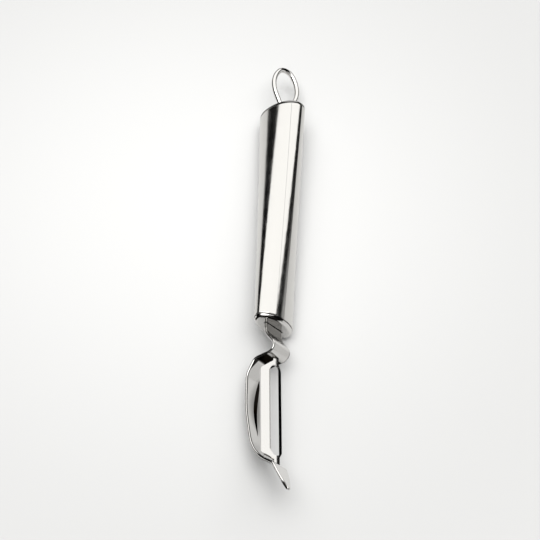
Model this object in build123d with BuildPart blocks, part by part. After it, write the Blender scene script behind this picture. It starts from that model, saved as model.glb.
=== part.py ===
from build123d import *
from math import acos, atan2, cos, degrees, hypot, radians, sin, sqrt, tan
import os

# Swivel vegetable peeler, all of stainless steel, in millimetres.
# It is modelled with X across the bent strip, Y along the handle towards the hanging loop
# and Z away from the back of the bow, from the middle of the handle's front rim.
# At the end every piece is laid down together, the way the peeler lies on a table.

# Handle tube: drawn from an oval standing one way at the loop to one lying the other way in front
handle_length = 108.0
front_half_width = 9.8
front_half_height = 5.7
rear_half_width = 7.2
rear_half_height = 11.25
tube_wall = 0.8
tube_edge_radius = 0.5

# Caps, a little smaller than the tube's rim, with polished round edges: a solid one in front,
# which carries the strip, and a pressed hollow one at the loop
front_cap_rise = 1.6
rear_cap_rise = 1.9
rear_cap_wall = 1.0
cap_step = 0.12
front_cap_round = 1.45
rear_cap_round = 1.75
spigot_length = 4.0
spigot_gap = 0.05
slot_gap = 0.08
cap_slot_gap = 0.15
leg_gap = 0.05

# Tang plug, behind the front cap
plug_length = 16.0

# Blade holder: one polished strip. A reach is measured along the axis from the front rim,
# a height towards the blade's side and a depth towards the back of the bow. The belly lies
# a share of the way from the heel to the toe, and bends with a multiple of that length.
strip_width = 9.8
strip_thickness = 1.2
strip_edge_radius = 0.55
tang_length = 16.0
neck_reach = 6.0
neck_radius = 8.0
crest_reach = 16.0
crest_height = 7.48
crest_radius = 2.8
shoulder_reach = 16.2
shoulder_depth = 5.0
shoulder_radius = 2.5
heel_reach = 22.3
heel_depth = 8.9
heel_radius = 7.0
belly_share = 0.406
belly_depth = 8.65
belly_bend = 1.68
toe_run = 7.4
toe_depth = 4.3
toe_radius = 20.0
knee_reach = 67.1
knee_height = 6.0
knee_radius = 3.0
tip_length = 13.1
tip_slope = 24.0

# Outline of the strip seen from above: straight, then narrowing to the knee and the tip
taper_run = 17.1
knee_width = 8.4
tip_middle_share = 0.48
tip_middle_width = 6.4
tip_end_share = 0.955
tip_end_width = 1.96

# Blade: a curved sheet with a wide bar, a slot and a narrow guide bar. Widths are measured
# from the hinge line, lengths from the pivot of the nearer arm.
blade_radius = 14.4
blade_thickness = 0.8
cutting_side = 6.25
guide_side = 2.35
slot_cutting_side = 2.13
slot_guide_side = 1.48
slot_corner = 1.7
upper_slot_start = 4.3
lower_slot_start = 4.1
bevel_width = 0.9
bevel_overlap = 0.2
edge_land = 0.1
tab_width = 2.5
tab_proud = 0.35
tab_round = 0.3
neck_round = 0.6
shoulder_round = 1.0
guide_shoulder_round = 2.5
upper_pivot_height = 1.9
lower_pivot_height = 4.7
upper_cutting_neck = 2.4
upper_cutting_shoulder = 6.7
upper_guide_neck = 3.8
upper_guide_shoulder = 6.4
lower_cutting_neck = 2.2
lower_cutting_shoulder = 4.6
lower_guide_neck = 3.6
lower_guide_shoulder = 5.6
swing_each_way = 16.5
swing_margin = 1.0
hinge_gap = 0.07

# Hanging loop: round wire bent to a drop, both legs set into the rear cap
wire_diameter = 2.2
loop_half_width = 6.1
loop_half_height = 9.5
loop_middle = 14.7
loop_side_radius = 13.0
leg_half_gap = 1.6
leg_bend_reach = 2.7
leg_bend_radius = 3.0
leg_seat = 3.5
loop_turn = 13.0
loop_rise = 1.2

# Everything that cuts runs this far past what it cuts
overrun = 2.0

# The side on which the peeler lies on the table, in degrees from the back of its bow
roll = 49.0


def half_sizes(distance, inset):
    """Half width and half height of the drawn handle, a distance behind its front rim."""
    along = distance / handle_length
    return (
        front_half_width + (rear_half_width - front_half_width) * along - inset,
        front_half_height + (rear_half_height - front_half_height) * along - inset,
    )


def rim_plane(distance):
    """The plane square to the handle, a distance behind the front rim, facing the front."""
    return Plane(origin=(0, distance, 0), x_dir=(1, 0, 0), z_dir=(0, -1, 0))


def oval(distance, inset):
    """The handle's oval there, in four quarters that all start at the same corner."""
    half_width, half_height = half_sizes(distance, inset)
    with BuildSketch(rim_plane(distance)) as sketch:
        with BuildLine():
            for quarter in (0, 90, 180, 270):
                EllipticalCenterArc((0, 0), half_width, half_height, quarter)
        make_face()
    return sketch.sketch


# Handle tube
with BuildPart() as handle_tube:
    loft(sections=[oval(0, 0), oval(handle_length, 0)], ruled=True)
    rims = edges().group_by(Axis.Y)
    fillet(rims[0] + rims[-1], tube_edge_radius)
    loft(
        sections=[oval(0, tube_wall), oval(handle_length, tube_wall)],
        ruled=True,
        mode=Mode.SUBTRACT,
    )

# Front cap, with the slot that the strip goes through
with BuildPart() as front_cap:
    extrude(oval(0, cap_step), amount=front_cap_rise)
    fillet(edges().group_by(Axis.Y)[0], front_cap_round)
    loft(
        sections=[
            oval(0, tube_wall + spigot_gap),
            oval(spigot_length, tube_wall + spigot_gap),
        ],
        ruled=True,
    )
    with BuildSketch(rim_plane(0)):
        Rectangle(strip_width + 2 * cap_slot_gap, strip_thickness + 2 * cap_slot_gap)
    extrude(amount=spigot_length + overrun, both=True, mode=Mode.SUBTRACT)

# Tang plug, a block inside the handle that the strip's tang is pressed into
with BuildPart() as tang_plug:
    loft(
        sections=[
            oval(spigot_length, tube_wall + spigot_gap),
            oval(spigot_length + plug_length, tube_wall + spigot_gap),
        ],
        ruled=True,
    )
    with BuildSketch(rim_plane(0)):
        Rectangle(strip_width + 2 * slot_gap, strip_thickness + 2 * slot_gap)
    extrude(amount=-tang_length - strip_thickness / 2 - slot_gap, mode=Mode.SUBTRACT)

# Rear cap, with a hole for each leg of the loop
loop_plane = Plane(
    origin=(0, handle_length, loop_rise),
    x_dir=(cos(radians(loop_turn)), 0, sin(radians(loop_turn))),
    z_dir=(-sin(radians(loop_turn)), 0, cos(radians(loop_turn))),
)
with BuildPart() as rear_cap:
    extrude(oval(handle_length, cap_step), amount=-rear_cap_rise)
    fillet(edges().group_by(Axis.Y)[-1], rear_cap_round)
    loft(
        sections=[
            oval(handle_length - spigot_length, tube_wall + spigot_gap),
            oval(handle_length, tube_wall + spigot_gap),
        ],
        ruled=True,
    )
    loft(
        sections=[
            oval(handle_length - spigot_length, tube_wall + spigot_gap + rear_cap_wall),
            oval(
                handle_length + rear_cap_rise - rear_cap_wall,
                tube_wall + spigot_gap + rear_cap_wall,
            ),
        ],
        ruled=True,
        mode=Mode.SUBTRACT,
    )
    with BuildSketch(Plane(origin=loop_plane.origin, x_dir=loop_plane.x_dir, z_dir=(0, 1, 0))):
        with Locations((-leg_half_gap, 0), (leg_half_gap, 0)):
            Circle(wire_diameter / 2 + leg_gap)
    extrude(amount=spigot_length + overrun, both=True, mode=Mode.SUBTRACT)

# Hanging loop. The crown's radius follows from the loop's width, height and side arcs,
# and the legs lean so that they meet the side arcs without a corner.
side_middle = loop_side_radius - loop_half_width
crown_radius = loop_side_radius**2 - side_middle**2 - loop_half_height**2
crown_radius = crown_radius / (2 * (loop_side_radius - loop_half_height))
crown_turn = degrees(atan2(loop_half_height - crown_radius, side_middle))
to_bend = Vector(leg_half_gap + side_middle, loop_middle - leg_bend_reach)
lean = degrees(atan2(to_bend.Y, to_bend.X)) - degrees(acos(loop_side_radius / to_bend.length))
lean_length = sqrt(to_bend.length**2 - loop_side_radius**2)
bend_run = leg_bend_radius * tan(radians(lean / 2))
with BuildLine() as half_loop:
    leg = Line((leg_half_gap, -leg_seat), (leg_half_gap, leg_bend_reach - bend_run))
    bend = JernArc(leg @ 1, leg % 1, leg_bend_radius, -lean)
    slant = Line(bend @ 1, bend @ 1 + (bend % 1) * (lean_length - bend_run))
    side = JernArc(slant @ 1, slant % 1, loop_side_radius, lean + crown_turn)
    JernArc(side @ 1, side % 1, crown_radius, 90 - crown_turn)
    mirror(about=Plane.YZ)
with BuildPart() as hanging_loop:
    loop_path = loop_plane * Wire(half_loop.edges())
    with BuildSketch(Plane(origin=loop_path @ 0, z_dir=loop_path % 0)):
        Circle(wire_diameter / 2)
    sweep(path=loop_path)

# Blade holder: corners of the strip's middle line, from the tang to the tip
tip_run = tip_length * cos(radians(tip_slope))
tip_rise = tip_length * sin(radians(tip_slope))
toe_reach = knee_reach - toe_run
belly_reach = heel_reach + (toe_reach - heel_reach) * belly_share
corners = [
    (tang_length, 0),
    (-neck_reach, 0),
    (-crest_reach, crest_height),
    (-shoulder_reach, -shoulder_depth),
    (-heel_reach, -heel_depth),
    (-belly_reach, -belly_depth),
    (-toe_reach, -toe_depth),
    (-knee_reach, knee_height),
    (-knee_reach - tip_run, knee_height + tip_rise),
]
bends = [
    neck_radius,
    crest_radius,
    shoulder_radius,
    heel_radius,
    (toe_reach - heel_reach) * belly_bend,
    toe_radius,
    knee_radius,
]


def point_on_arm(near, far, height):
    """Where the straight line between two corners of the strip has this height."""
    share = (height - near[1]) / (far[1] - near[1])
    return Vector(0, near[0] + (far[0] - near[0]) * share, height)


# The hinge runs from one arm to the other, with its own plane facing along it
upper_pivot = point_on_arm(corners[2], corners[3], upper_pivot_height)
lower_pivot = point_on_arm(corners[6], corners[7], lower_pivot_height)
hinge_span = (lower_pivot - upper_pivot).length
hinge_line = (lower_pivot - upper_pivot).normalized()
hinge_plane = Plane(origin=upper_pivot, x_dir=(1, 0, 0), z_dir=hinge_line)

# The hole in each arm: a round one for the tab's corners, waisted to let it turn only so far
tab_sag = blade_radius - sqrt(blade_radius**2 - (tab_width / 2) ** 2)
tab_corner = hypot(tab_width / 2, blade_thickness / 2 + tab_sag)
hole_radius = tab_corner + hinge_gap
stop_angle = radians(swing_each_way + swing_margin)
hole_waist = (blade_thickness / 2 + tab_sag + hinge_gap) / cos(stop_angle)
hole_flare = hole_waist + hole_radius * tan(stop_angle)

with BuildPart() as blade_holder:
    with BuildSketch(Plane.YZ):
        with BuildLine():
            FilletPolyline(*corners, radius=bends)
            offset(amount=strip_thickness / 2, side=Side.BOTH, closed=True)
        make_face()
    extrude(amount=strip_width / 2, both=True)
    tip_middle = (tip_middle_width / 2, -knee_reach - tip_run * tip_middle_share)
    tip_end = (tip_end_width / 2, -knee_reach - tip_run * tip_end_share)
    with BuildSketch():
        with BuildLine():
            Polyline(
                (0, tang_length + overrun),
                (strip_width / 2, tang_length + overrun),
                (strip_width / 2, taper_run - knee_reach),
                (knee_width / 2, -knee_reach),
            )
            ThreePointArc((knee_width / 2, -knee_reach), tip_middle, tip_end)
            ThreePointArc(tip_end, (0, -knee_reach - tip_run), (-tip_end[0], tip_end[1]))
            ThreePointArc(
                (-tip_end[0], tip_end[1]),
                (-tip_middle[0], tip_middle[1]),
                (-knee_width / 2, -knee_reach),
            )
            Polyline(
                (-knee_width / 2, -knee_reach),
                (-strip_width / 2, taper_run - knee_reach),
                (-strip_width / 2, tang_length + overrun),
                (0, tang_length + overrun),
            )
        make_face()
    extrude(amount=strip_width * 2, both=True, mode=Mode.INTERSECT)
    fillet(edges().filter_by(Axis.X, reverse=True), strip_edge_radius)
    with BuildSketch(hinge_plane) as hinge_hole:
        Circle(hole_radius)
        with BuildLine():
            Polyline(
                (0, hole_waist),
                (hole_radius, hole_flare),
                (hole_radius, -hole_flare),
                (0, -hole_waist),
                (-hole_radius, -hole_flare),
                (-hole_radius, hole_flare),
                close=True,
            )
        make_face(mode=Mode.INTERSECT)
    extrude(amount=hinge_span + overrun, mode=Mode.SUBTRACT)
    extrude(hinge_hole.sketch, amount=-overrun, mode=Mode.SUBTRACT)


# Blade, at rest against its stop, with the cutting side swung towards the bow
swung = Plane(hinge_plane.location * Rot(0, 0, swing_each_way))
blade_front = Plane(origin=upper_pivot, x_dir=swung.x_dir, z_dir=swung.y_dir)


def tab_reach(near, far):
    """How far a tab reaches from its pivot, out through the slanting arm and a little beyond."""
    arm = (Vector(0, *far) - Vector(0, *near)).normalized()
    across = arm.cross(hinge_line).length
    slant = abs(arm.dot(hinge_line)) / across
    return strip_thickness / 2 / across + blade_thickness / 2 * slant + tab_proud


upper_end = -tab_reach(corners[2], corners[3])
lower_end = hinge_span + tab_reach(corners[6], corners[7])
outline = [
    (tab_width / 2, -upper_end),
    (tab_width / 2, -upper_guide_neck),
    (guide_side, -upper_guide_shoulder),
    (guide_side, lower_guide_shoulder - hinge_span),
    (tab_width / 2, lower_guide_neck - hinge_span),
    (tab_width / 2, -lower_end),
    (-tab_width / 2, -lower_end),
    (-tab_width / 2, lower_cutting_neck - hinge_span),
    (-cutting_side, lower_cutting_shoulder - hinge_span),
    (-cutting_side, -upper_cutting_shoulder),
    (-tab_width / 2, -upper_cutting_neck),
    (-tab_width / 2, -upper_end),
]
outline_rounds = [
    tab_round,
    neck_round,
    guide_shoulder_round,
    guide_shoulder_round,
    neck_round,
    tab_round,
    tab_round,
    neck_round,
    shoulder_round,
    shoulder_round,
    neck_round,
    tab_round,
]
outer_middle = blade_thickness / 2 - blade_radius
bevel_top = outer_middle + sqrt(blade_radius**2 - (slot_cutting_side + bevel_width) ** 2)
bevel_foot = outer_middle + sqrt((blade_radius - blade_thickness) ** 2 - slot_cutting_side**2)
bevel_fall = (bevel_top - bevel_foot - edge_land) / bevel_width
bevel_low = bevel_foot + edge_land - bevel_fall * bevel_overlap
slot_length = hinge_span - upper_slot_start - lower_slot_start
slot_width = slot_cutting_side + slot_guide_side

with BuildPart() as blade:
    with BuildSketch(swung.offset(upper_end)):
        with Locations((0, outer_middle)):
            Circle(blade_radius)
            Circle(blade_radius - blade_thickness, mode=Mode.SUBTRACT)
        with Locations(((guide_side - cutting_side) / 2, 0)):
            Rectangle(guide_side + cutting_side, blade_radius, mode=Mode.INTERSECT)
    extrude(amount=lower_end - upper_end)
    with BuildSketch(blade_front):
        with BuildLine():
            FilletPolyline(*outline, radius=outline_rounds, close=True)
        make_face()
        with Locations(
            (
                (slot_guide_side - slot_cutting_side) / 2,
                -upper_slot_start - slot_length / 2,
            )
        ):
            RectangleRounded(slot_width, slot_length, slot_corner, mode=Mode.SUBTRACT)
    extrude(amount=blade_radius, both=True, mode=Mode.INTERSECT)
    with BuildPart(mode=Mode.PRIVATE) as bevel:
        with BuildSketch(swung):
            with BuildLine():
                Polyline(
                    (-slot_cutting_side - bevel_width, bevel_top),
                    (bevel_overlap - slot_cutting_side, bevel_low),
                    (bevel_overlap - slot_cutting_side, blade_thickness),
                    (-slot_cutting_side - bevel_width, blade_thickness),
                    close=True,
                )
            make_face()
        extrude(amount=hinge_span)
        with BuildSketch(blade_front):
            with BuildLine():
                Polyline(
                    (bevel_overlap - slot_cutting_side, -upper_slot_start - slot_corner / 2),
                    (
                        bevel_overlap - slot_cutting_side,
                        lower_slot_start + slot_corner / 2 - hinge_span,
                    ),
                    (
                        -slot_cutting_side - bevel_width,
                        lower_slot_start + slot_corner + bevel_width - hinge_span,
                    ),
                    (
                        -slot_cutting_side - bevel_width,
                        -upper_slot_start - slot_corner - bevel_width,
                    ),
                    close=True,
                )
            make_face()
        extrude(amount=blade_radius, both=True, mode=Mode.INTERSECT)
    add(bevel.part, mode=Mode.SUBTRACT)

# Laying it down: rolled onto the back corner of the bow, then tipped until the rear rim touches
rolled = Rot(0, roll, 0)
bow_low = (rolled * blade_holder.part).bounding_box().min.Z
rear_low = (rolled * handle_tube.part).bounding_box().min.Z
tipping = degrees(atan2(bow_low - rear_low, handle_length + heel_reach))
tipped = Rot(tipping, 0, 0) * rolled
everything = [
    handle_tube.part,
    front_cap.part,
    tang_plug.part,
    rear_cap.part,
    hanging_loop.part,
    blade_holder.part,
    blade.part,
]
bounds = (tipped * Compound(everything)).bounding_box()
middle = bounds.center()
lying = Pos(-middle.X, -middle.Y, -bounds.min.Z) * tipped
handle_tube.part.locate(lying)
front_cap.part.locate(lying)
tang_plug.part.locate(lying)
rear_cap.part.locate(lying)
hanging_loop.part.locate(lying)
blade_holder.part.locate(lying)
blade.part.locate(lying)

# Where the hinge and the middle of the loop's eye end up
hinge_point = (lying * Pos((upper_pivot + lower_pivot) / 2)).position
hinge_end = (lying * Pos(upper_pivot)).position
eye_point = (lying * Pos(0, handle_length + loop_middle, loop_rise)).position
print("hinge", tuple(hinge_point), tuple((hinge_end - hinge_point).normalized()))
print("eye", tuple(eye_point), "tipping", tipping)

os.makedirs("parts", exist_ok=True)
handle_tube.part.label = "handle_tube"
export_step(handle_tube.part, "parts/handle_tube.step")
front_cap.part.label = "front_cap"
export_step(front_cap.part, "parts/front_cap.step")
tang_plug.part.label = "tang_plug"
export_step(tang_plug.part, "parts/tang_plug.step")
rear_cap.part.label = "rear_cap"
export_step(rear_cap.part, "parts/rear_cap.step")
hanging_loop.part.label = "hanging_loop"
export_step(hanging_loop.part, "parts/hanging_loop.step")
blade_holder.part.label = "blade_holder"
export_step(blade_holder.part, "parts/blade_holder.step")
blade.part.label = "blade"
export_step(blade.part, "parts/blade.step")
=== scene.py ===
"""Swivel vegetable peeler of stainless steel, lying on a pale table under a large soft box."""

import math

import bpy
import numpy as np
from mathutils import Matrix, Vector


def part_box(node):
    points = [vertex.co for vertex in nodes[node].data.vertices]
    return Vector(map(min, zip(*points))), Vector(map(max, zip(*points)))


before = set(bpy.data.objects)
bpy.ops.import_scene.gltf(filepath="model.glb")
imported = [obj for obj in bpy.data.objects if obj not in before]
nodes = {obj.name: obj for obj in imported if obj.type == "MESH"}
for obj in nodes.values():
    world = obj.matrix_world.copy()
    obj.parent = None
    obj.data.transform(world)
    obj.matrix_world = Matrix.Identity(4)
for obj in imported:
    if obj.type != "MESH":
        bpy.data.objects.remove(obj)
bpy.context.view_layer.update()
mm = 0.001

# ---- Table ------------------------------------------------------------------------------
# A sheet of matt white board with a faint paper tooth, a little larger than the view. Its tone is
# painted as a pool of light: brightest behind the peeler on the left, falling off a little from
# there.

table_size = 330 * mm
table_tone = 0.615
painted_falloff_tone = 0.515
painted_light_middle = Vector((-35, 45, 0)) * mm
painted_falloff_reach = 190 * mm
table_roughness = 0.9
table_gloss = 0.1
tooth_scale = 900
tooth_detail = 2
tooth_strength = 0.03
tooth_depth = 0.1 * mm


def new_finish(name):
    """An empty node material with its Principled shader."""
    finish = bpy.data.materials.new(name)
    finish.use_nodes = True
    return finish, finish.node_tree, finish.node_tree.nodes["Principled BSDF"]


def feed(tree, node, inputs):
    """Fills a node's inputs, each with a plain value or from another node's output."""
    for name, source in inputs.items():
        if isinstance(source, bpy.types.NodeSocket):
            tree.links.new(source, node.inputs[name])
        else:
            node.inputs[name].default_value = source
    return node


def new_node(tree, kind, inputs):
    """A new node with its inputs filled."""
    return feed(tree, tree.nodes.new(kind), inputs)


def ramp(tree, value, low_edge, high_edge, below, above, step="SMOOTHSTEP"):
    """One number below an edge and another above the next, with a smooth step between them."""
    node = new_node(
        tree,
        "ShaderNodeMapRange",
        {
            "Value": value,
            "From Min": low_edge,
            "From Max": high_edge,
            "To Min": below,
            "To Max": above,
        },
    )
    node.interpolation_type = step
    return node.outputs["Result"]


def noise(tree, place, scale, detail):
    """Cloudy noise between about 0.3 and 0.7, finer with its scale and rougher with its detail."""
    inputs = {"Vector": place, "Scale": scale, "Detail": detail}
    return new_node(tree, "ShaderNodeTexNoise", inputs).outputs["Fac"]


def emboss(tree, shader, height, strength, depth):
    """Shades a surface as if it rose and fell with a height pattern."""
    inputs = {"Height": height, "Strength": strength, "Distance": depth}
    bump = new_node(tree, "ShaderNodeBump", inputs)
    feed(tree, shader, {"Normal": bump.outputs["Normal"]})


def white_board():
    """Matt white board with a painted pool of light: its tone falls off with the distance from its
    middle.
    """
    finish, tree, shader = new_finish("white_board")
    place = tree.nodes.new("ShaderNodeTexCoord").outputs["Object"]
    reach = new_node(tree, "ShaderNodeVectorMath", {0: place, 1: painted_light_middle})
    reach.operation = "DISTANCE"
    # Painted light: the board is brightest at the painted light's middle and darker further off
    tone = ramp(tree, reach.outputs["Value"], 0, painted_falloff_reach, table_tone, painted_falloff_tone)
    tooth = noise(tree, place, tooth_scale, tooth_detail)
    feed(tree, shader, {"Base Color": tone, "Roughness": table_roughness})
    feed(tree, shader, {"Specular IOR Level": table_gloss})
    emboss(tree, shader, tooth, tooth_strength, tooth_depth)
    return finish


def flat_square(name, size):
    """A square under the object at height 0, its corners half its size out along X and Y."""
    half = size / 2
    corners = np.array([(-half, -half, 0), (half, -half, 0), (half, half, 0), (-half, half, 0)])
    mesh = bpy.data.meshes.new(name)
    mesh.from_pydata(corners.tolist(), [], [(0, 1, 2, 3)])
    square = bpy.data.objects.new(name, mesh)
    bpy.context.scene.collection.objects.link(square)
    return square


table = flat_square("table", table_size)
table.data.materials.append(white_board())

# ---- Handle -----------------------------------------------------------------------------
# A tube of stainless steel sheet, drawn from an upright oval at the loop to a flat one in
# front, with a thin darker line along its upper half, and brushed along its length to a satin that
# mirrors softly.

handle_tone = (0.59, 0.58, 0.56, 1)
handle_roughness = 0.16
handle_wear = 0.03
handle_grain = (4000, 60, 4000)
handle_grain_depth = 0.005 * mm
grain_detail = 4
grain_strength = 0.25
cloud_scale = 180
cloud_detail = 3
cloud_low = 0.3
cloud_high = 0.7
dark_line_side = -4.28 * mm
dark_line_half = 0.05 * mm
dark_line_tone = (0.3, 0.295, 0.29, 1)
clear_tint = (1, 1, 1, 1)
dull_tint = (0.2, 0.2, 0.2, 1)

# The peeler's own axes: X across the strip, Y along the handle towards the loop and Z away
# from the back of the bow, from the middle of the front rim, which its cap stands out from
roll = math.radians(49)
tipping = math.radians(-0.23)
cap_rise = 1.63 * mm
cap_low, cap_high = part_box("front_cap")
rim_middle = Vector(
    ((cap_low.x + cap_high.x) / 2, cap_low.y + cap_rise, (cap_low.z + cap_high.z) / 2)
)
lying = Matrix.Rotation(tipping, 3, "X") @ Matrix.Rotation(roll, 3, "Y")


def peeler_axes(tree):
    """Object coordinates turned to the peeler's own axes: as a vector, and its X, Y and Z."""
    place = tree.nodes.new("ShaderNodeTexCoord").outputs["Object"]
    inputs = {"Vector": place, "Location": rim_middle, "Rotation": lying.to_euler()}
    turned = new_node(tree, "ShaderNodeMapping", inputs)
    turned.vector_type = "TEXTURE"
    apart = new_node(tree, "ShaderNodeSeparateXYZ", {"Vector": turned.outputs["Vector"]})
    return turned.outputs["Vector"], tuple(apart.outputs)


def combine(tree, operation, *terms):
    """The sum, product or other result of its terms, which are outputs or plain numbers."""
    node = new_node(tree, "ShaderNodeMath", dict(enumerate(terms)))
    node.operation = operation
    return node.outputs["Value"]


def all_of(tree, first, *others):
    """A mask that is 1 where all of these are: their product."""
    for other in others:
        first = combine(tree, "MULTIPLY", first, other)
    return first


def past(tree, value, edge, soft, share=1):
    """0 below an edge and a share above it, with a smooth step as wide as twice its softness."""
    return ramp(tree, value, edge - soft, edge + soft, 0, share)


def short_of(tree, value, edge, soft, share=1):
    """A share below an edge and 0 above it, with a smooth step as wide as twice its softness."""
    return ramp(tree, value, edge - soft, edge + soft, share, 0)


def band(tree, value, low, high, soft):
    """1 between two edges and 0 elsewhere: past the low one and short of the high one."""
    return all_of(tree, past(tree, value, low, soft), short_of(tree, value, high, soft))


def blend(tree, mask, unmasked, masked):
    """The unmasked colour where a mask is 0 and the masked one where it is 1.

    The colours' sockets go by number, because the node has others of the same names."""
    node = tree.nodes.new("ShaderNodeMix")
    node.data_type = "RGBA"
    factor, first, second, result = 0, 6, 7, 2
    feed(tree, node, {factor: mask, first: unmasked, second: masked})
    return node.outputs[result]


def darken(tree, shader, tone, dark_tone, mask):
    """Gives the steel a second tone, and less shine seen edge on, where the mask is 1."""
    feed(tree, shader, {"Base Color": blend(tree, mask, tone, dark_tone)})
    feed(tree, shader, {"Specular Tint": blend(tree, mask, clear_tint, dull_tint)})


def steel(name, tone, roughness, wear, grain, grain_depth):
    """Polished steel: a fine grain in its surface, and cloudy wear in its gloss.

    The grain is noise with its own scale along each of the peeler's axes, and the wear is
    slow noise that moves the roughness up and down by as much as it says."""
    finish, tree, shader = new_finish(name)
    turned, axes = peeler_axes(tree)
    cloud = noise(tree, turned, cloud_scale, cloud_detail)
    gloss = ramp(tree, cloud, cloud_low, cloud_high, roughness - wear, roughness + wear, "LINEAR")
    feed(tree, shader, {"Base Color": tone, "Metallic": 1, "Roughness": gloss})
    stretch = new_node(tree, "ShaderNodeMapping", {"Vector": turned, "Scale": grain})
    lines = noise(tree, stretch.outputs["Vector"], 1, grain_detail)
    emboss(tree, shader, lines, grain_strength, grain_depth)
    return finish, tree, shader, axes


def lined_steel():
    """The handle's satin steel with a thin darker line along its upper half.

    The line is a band in X, where Z is above 0."""
    finish, tree, shader, (x, _, z) = steel(
        "satin_steel", handle_tone, handle_roughness, handle_wear, handle_grain, handle_grain_depth
    )
    line = band(tree, x, dark_line_side - dark_line_half, dark_line_side + dark_line_half, dark_line_half)
    upper = ramp(tree, z, 0, dark_line_half, 0, 1)
    darken(tree, shader, handle_tone, dark_line_tone, all_of(tree, line, upper))
    return finish


def finish_node(name, finish):
    """Gives a CAD piece its finish."""
    nodes[name].data.materials.clear()
    nodes[name].data.materials.append(finish)


finish_node("handle_tube", lined_steel())

# ---- Caps and hanging loop --------------------------------------------------------------
# Two polished steel plugs close the tube. A round steel wire is bent to a drop and set into
# the rear one, and the front one carries the strip in a slot. The slot's walls and the joints
# with the tube have painted shade, and the front one's upper rim a painted dark reflection, all
# nearly black.

polish_tone = (0.62, 0.61, 0.595, 1)
black_tone = (0.012, 0.011, 0.01, 1)
cap_roughness = 0.05
rear_cap_roughness = 0.06
cap_grain = (700, 700, 700)
cap_grain_depth = 0.002 * mm
polish_wear = 0.02
wire_roughness = 0.05
wire_grain = (900, 900, 900)
wire_grain_depth = 0.004 * mm
slot_half_height = 0.76 * mm
slot_half_width = 5.06 * mm
cap_face = -1.56 * mm
joint_shade_depth = 0.46 * mm
sharp = 0.01 * mm
painted_reflection_front = -1.5 * mm
painted_reflection_back = -1.05 * mm
painted_reflection_soft = 0.05 * mm
painted_reflection_rise = 4.8 * mm
painted_reflection_fade = 0.6 * mm
handle_length = 108 * mm


def any_of(tree, first, *others):
    """A mask that is 1 where any of these is: their maximum."""
    for other in others:
        first = combine(tree, "MAXIMUM", first, other)
    return first


def slotted_steel():
    """The front cap's polish, with painted shade, nearly black, in the slot and at the tube, and a
    painted dark reflection along its upper rim.

    The slot's walls are a block in X, Y and Z, the joint is all that lies further back than
    its depth, and the rim's painted reflection is a band in Y that fades in with the height above
    the table."""
    finish, tree, shader, (x, y, z) = steel(
        "polished_cap", polish_tone, cap_roughness, polish_wear, cap_grain, cap_grain_depth
    )
    high = band(tree, z, -slot_half_height, slot_half_height, sharp)
    wide = band(tree, x, -slot_half_width, slot_half_width, sharp)
    # Painted shade, nearly black, on the slot's walls and in the gap at the joint with the tube
    walls = all_of(tree, high, wide, past(tree, y, cap_face, sharp))
    joint = past(tree, y, -joint_shade_depth, sharp)
    place = tree.nodes.new("ShaderNodeTexCoord").outputs["Object"]
    height = new_node(tree, "ShaderNodeSeparateXYZ", {"Vector": place}).outputs["Z"]
    # Painted dark reflection along the upper rim, fading in with the height above the table
    upper = past(tree, height, rim_middle.z + painted_reflection_rise, painted_reflection_fade)
    line = band(tree, y, painted_reflection_front, painted_reflection_back, painted_reflection_soft)
    dark = any_of(tree, walls, joint, all_of(tree, line, upper))
    darken(tree, shader, polish_tone, black_tone, dark)
    return finish


def jointed_steel():
    """The rear cap's polish, with painted shade, nearly black, short of the joint's depth past the
    tube's end.
    """
    finish, tree, shader, (_, y, _) = steel(
        "polished_rear_cap",
        polish_tone,
        rear_cap_roughness,
        polish_wear,
        cap_grain,
        cap_grain_depth,
    )
    # Painted shade, nearly black, in the gap at the joint with the tube
    joint = short_of(tree, y, handle_length + joint_shade_depth, sharp)
    darken(tree, shader, polish_tone, black_tone, joint)
    return finish


wire_steel = steel(
    "polished_wire", polish_tone, wire_roughness, polish_wear, wire_grain, wire_grain_depth
)[0]
finish_node("front_cap", slotted_steel())
finish_node("rear_cap", jointed_steel())
finish_node("hanging_loop", wire_steel)

# ---- Blade holder -----------------------------------------------------------------------
# One strip of polished steel, bent to a bow with two arms and drawn to a pointed tip. It has
# painted shade, nearly black, in the upper arm's inner corner and on the tang, half dark at the
# neck, painted dark reflections beside its edges and at the tip's end, painted light at the pale
# tip, and a dark pointed lens with a faint painted shade on its left along the inside of its bow.

strip_tone = (0.6, 0.59, 0.575, 1)
strip_dark_tone = (0.02, 0.0185, 0.017, 1)
painted_tip_tone = (0.69, 0.68, 0.665, 1)
strip_roughness = 0.07
strip_grain = (1500, 90, 1500)
strip_grain_depth = 0.003 * mm

# The painted shade in the upper arm's inner corner, with a wedge whose side slants
arm_front = -16.35 * mm
arm_front_soft = 0.05 * mm
corner_top = 1.3 * mm
corner_top_soft = 0.3 * mm
arm_corner = -16.95 * mm
arm_corner_soft = 0.15 * mm
wedge_slope = -1 / 2.2
wedge_side = 10.9 / 2.2 * mm
wedge_soft = 0.25 * mm

# The dark pointed lens, and the faint painted shade on its left
lens_slope = -0.107
lens_line = 5.41 * mm
lens_middle = -34.5 * mm
lens_half = 15.5 * mm
lens_least = 0.001
lens_left = -2.3 * mm
lens_right = 0
lens_soft = 0.12 * mm
lens_shade_start = -6.5 * mm
lens_shade_share = 0.5
bow_top = -3.1 * mm
bow_top_soft = 0.1 * mm

# The painted dark reflections beside the edges, and the taper that they follow
line_start = 4.38 * mm
line_end = 4.72 * mm
line_soft = 0.03 * mm
line_back = -13 * mm
line_back_soft = mm
line_share = 0.96
line_fade = 0.5 * mm
taper_start = -50 * mm
taper_end = -67.1 * mm
taper_depth = 0.7 * mm

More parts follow.
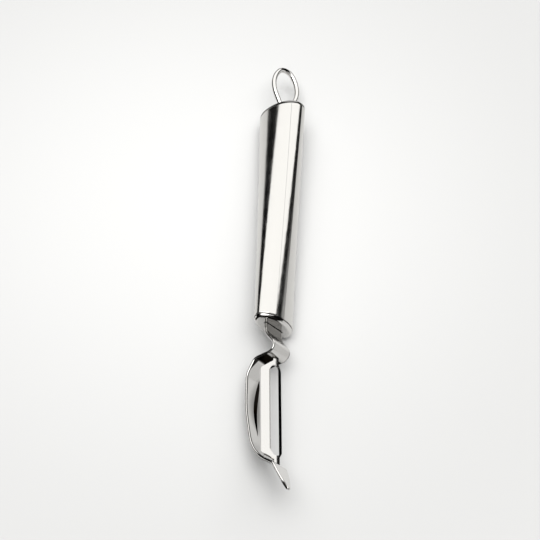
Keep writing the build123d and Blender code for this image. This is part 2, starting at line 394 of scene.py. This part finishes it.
# The tip's painted light and its end's painted dark reflection, the painted shade at the neck and
# on the tang
tip_start = -67.6 * mm
tip_soft = 0.5 * mm
end_slope = 0.39
end_edge = -31.4 * mm
end_soft = 0.09 * mm
end_start = -75.75 * mm
end_start_soft = 0.75 * mm
neck_start = -10 * mm
neck_end = -8.5 * mm
neck_shade_share = 0.5
tang_end = -1.915 * mm
tang_soft = 0.015 * mm
edge_side = 4.4 * mm
edge_soft = 0.05 * mm


def slanted(tree, x, y, slope, offset):
    """A slanted coordinate: X plus a slope times Y, less an offset."""
    return combine(tree, "SUBTRACT", combine(tree, "MULTIPLY_ADD", y, slope, x), offset)


def inner_corner(tree, x, y, z):
    """Painted shade where the upper arm's front turns into the bow: all of the arm, and a wedge of
    the heel.

    The wedge is what lies left of a slanted line, and both end at a height and at the front."""
    front = short_of(tree, y, arm_front, arm_front_soft)
    low = short_of(tree, z, corner_top, corner_top_soft)
    on_arm = past(tree, y, arm_corner, arm_corner_soft)
    on_heel = short_of(tree, slanted(tree, x, y, wedge_slope, wedge_side), 0, wedge_soft)
    return all_of(tree, any_of(tree, on_arm, on_heel), front, low)


def dark_lens(tree, x, y, z):
    """A dark pointed lens beside a slanted line on the bow, and a faint painted shade on its left.

    Its width is 1 less the square of the way along it, which is -1 and 1 at its points, but
    never 0, and the distance from the line is divided by that width."""
    along = combine(tree, "DIVIDE", combine(tree, "SUBTRACT", y, lens_middle), lens_half)
    width = combine(tree, "SUBTRACT", 1, combine(tree, "MULTIPLY", along, along))
    width = combine(tree, "MAXIMUM", width, lens_least)
    beside = combine(tree, "DIVIDE", slanted(tree, x, y, lens_slope, lens_line), width)
    lens = band(tree, beside, lens_left, lens_right, lens_soft)
    shade = ramp(tree, beside, lens_shade_start, lens_left, 0, lens_shade_share)
    on_bow = short_of(tree, z, bow_top, bow_top_soft)
    return all_of(tree, any_of(tree, lens, all_of(tree, shade, width)), on_bow)


def painted_edge_reflections(tree, x, y):
    """A thin painted dark reflection beside each edge of the strip, which follows its taper to the
    tip.

    It is a band in X without its sign, plus what the taper has taken off at that Y."""
    side = combine(tree, "ABSOLUTE", x)
    taper = ramp(tree, y, taper_end, taper_start, taper_depth, 0, "LINEAR")
    line = band(tree, combine(tree, "ADD", side, taper), line_start, line_end, line_soft)
    past_neck = short_of(tree, y, line_back, line_back_soft)
    before_tip = ramp(tree, y, taper_end - line_fade, taper_end, 0, line_share)
    return all_of(tree, line, past_neck, before_tip)


def painted_end_reflection(tree, x, y):
    """The left edge of the tip's end, a painted dark reflection on the outer side of a slanted
    line.
    """
    outer = short_of(tree, slanted(tree, x, y, end_slope, end_edge), 0, end_soft)
    return all_of(tree, outer, short_of(tree, y, end_start, end_start_soft))


def strip_steel():
    """The strip's polish with painted light at its tip, its painted shade and painted dark
    reflections, a dark lens, and painted shade on the tang in the slot.

    The dark places inside stop short of the strip's edges, which stay bright."""
    finish, tree, shader, (x, y, z) = steel(
        "polished_strip", strip_tone, strip_roughness, polish_wear, strip_grain, strip_grain_depth
    )
    # Painted shade at the neck, half dark, where the front cap shades it
    neck = ramp(tree, y, neck_start, neck_end, 0, neck_shade_share)
    inside = any_of(tree, inner_corner(tree, x, y, z), dark_lens(tree, x, y, z), neck)
    across = band(tree, x, -edge_side, edge_side, edge_soft)
    # Painted shade: the strip is nearly black from just outside the slot inwards
    tang = past(tree, y, tang_end, tang_soft)
    dark = any_of(
        tree, all_of(tree, inside, across), painted_edge_reflections(tree, x, y), painted_end_reflection(tree, x, y), tang
    )
    # Painted light: the tip is painted paler than the rest of the strip
    tone = blend(tree, short_of(tree, y, tip_start, tip_soft), strip_tone, painted_tip_tone)
    darken(tree, shader, tone, strip_dark_tone, dark)
    return finish


finish_node("blade_holder", strip_steel())

# The plug inside the handle that holds the tang is bare steel without a polish
bare_roughness = 0.3
bare_wear = 0.03
bare_grain = (900, 900, 900)
bare_grain_depth = 0.01 * mm

bare_steel = steel(
    "bare_steel", strip_tone, bare_roughness, bare_wear, bare_grain, bare_grain_depth
)[0]
finish_node("tang_plug", bare_steel)

# ---- Blade ------------------------------------------------------------------------------
# A pressed sheet of hard steel that swivels on its two tabs, with a slot and one edge of
# the slot ground to a bevel. The slot's punched wall across from the bevel has painted shade,
# nearly black.

blade_tone = (0.57, 0.56, 0.545, 1)
blade_roughness = 0.1
blade_wear = 0.03
blade_grain = (1500, 90, 1500)
blade_grain_depth = 0.006 * mm
wall_inner = 1.05 * mm
wall_outer = 1.58 * mm
wall_soft = 0.03 * mm
slot_front = -61.5 * mm
slot_back = -20.5 * mm
slot_end_soft = 0.2 * mm


def slotted_blade():
    """The blade's steel, with painted shade, nearly black, on the slot's punched wall: a block in
    X and Y.
    """
    finish, tree, shader, (x, y, _) = steel(
        "blade_steel", blade_tone, blade_roughness, blade_wear, blade_grain, blade_grain_depth
    )
    # Painted shade, nearly black, on the slot's punched wall
    wall = band(tree, x, wall_inner, wall_outer, wall_soft)
    along = band(tree, y, slot_front, slot_back, slot_end_soft)
    darken(tree, shader, blade_tone, black_tone, all_of(tree, wall, along))
    return finish


finish_node("blade", slotted_blade())

# ---- Light ------------------------------------------------------------------------------
# A large round soft box hangs overhead, leaning a little to the back, with its lamp in the
# middle. Round it the room is dark, so curved steel mirrors white between black lines. White
# cards stand low at the right and taller in front. Seen directly, all is as pale as the table.

box_lean = math.radians(30)
box_side = 0.07
box_edge = math.cos(math.radians(50))
box_soft = 0.012
box_strength = 1.62
lamp_lean = math.radians(-8)
lamp_edge = math.cos(math.radians(33))
lamp_middle = math.cos(math.radians(24))
lamp_strength = 3.2
horizon = -0.02
floor_strength = 0.02
room_strength = 0.005
card_strength = 0.8
card_side = 0.86
card_top = 0.09
front_side = -0.6
front_bottom = 0.14
front_top = 0.66
card_side_soft = 0.02
card_edge_soft = 0.01
light_colour = (1.0, 0.998, 0.985, 1)
seen_strength = 0.85


def towards(tree, place, side, lean):
    """How far a direction points towards a light that leans right and back from overhead."""
    overhead = (side, math.sin(lean), math.cos(lean))
    node = new_node(tree, "ShaderNodeVectorMath", {0: place, 1: overhead})
    node.operation = "DOT_PRODUCT"
    return node.outputs["Value"]


def soft_box_sky():
    """Sky by direction: floor and dark room, two cards and the soft box, and pale where seen.

    Each card is a block of directions, and the brightest of all of these counts. The lamp
    adds to the box."""
    world = bpy.data.worlds.new("soft_box_sky")
    bpy.context.scene.world = world
    world.use_nodes = True
    tree = world.node_tree
    tree.nodes.clear()
    place = tree.nodes.new("ShaderNodeTexCoord").outputs["Generated"]
    right, back, up = new_node(tree, "ShaderNodeSeparateXYZ", {"Vector": place}).outputs
    to_box = towards(tree, place, box_side, box_lean)
    to_lamp = towards(tree, place, 0, lamp_lean)
    sheet = past(tree, to_box, box_edge, box_soft, box_strength)
    lamp = ramp(tree, to_lamp, lamp_edge, lamp_middle, 0, lamp_strength)
    room = ramp(tree, up, horizon, 0, floor_strength, room_strength)
    beside = past(tree, right, card_side, card_side_soft, card_strength)
    low_card = all_of(tree, beside, short_of(tree, up, card_top, card_edge_soft))
    before = short_of(tree, back, front_side, card_side_soft, card_strength)
    tall_card = all_of(tree, before, band(tree, up, front_bottom, front_top, card_edge_soft))
    light = any_of(tree, room, low_card, tall_card, combine(tree, "ADD", sheet, lamp))
    sky = new_node(tree, "ShaderNodeBackground", {"Color": light_colour, "Strength": light})
    seen = new_node(
        tree, "ShaderNodeBackground", {"Color": light_colour, "Strength": seen_strength}
    )
    ray = tree.nodes.new("ShaderNodeLightPath")
    either = {0: ray.outputs["Is Camera Ray"], 1: sky.outputs[0], 2: seen.outputs[0]}
    mix = new_node(tree, "ShaderNodeMixShader", either)
    new_node(tree, "ShaderNodeOutputWorld", {"Surface": mix.outputs["Shader"]})


soft_box_sky()

# ---- Camera -----------------------------------------------------------------------------
# It looks down at the peeler from in front, with the loop away from it, through a long lens.
# It stands back from the point that it aims at by its distance.

camera_rise = math.radians(55)
camera_turn = math.radians(2.09)
camera_distance = 833.9 * mm
camera_view = math.radians(15)
camera_clip = 10 * mm
aim_from_rim = Vector((-2.31, 26.44, 0)) * mm

aim = rim_middle + aim_from_rim
back = Vector(
    (
        math.sin(camera_turn) * math.cos(camera_rise),
        -math.cos(camera_turn) * math.cos(camera_rise),
        math.sin(camera_rise),
    )
)
camera_data = bpy.data.cameras.new("camera")
camera_data.sensor_fit = "HORIZONTAL"
camera_data.angle = camera_view
camera_data.clip_start = camera_clip
camera = bpy.data.objects.new("camera", camera_data)
bpy.context.scene.collection.objects.link(camera)
camera.location = aim + back * camera_distance
camera.rotation_euler = back.to_track_quat("Z", "Y").to_euler()
bpy.context.scene.camera = camera
bpy.context.scene.view_settings.view_transform = "Standard"
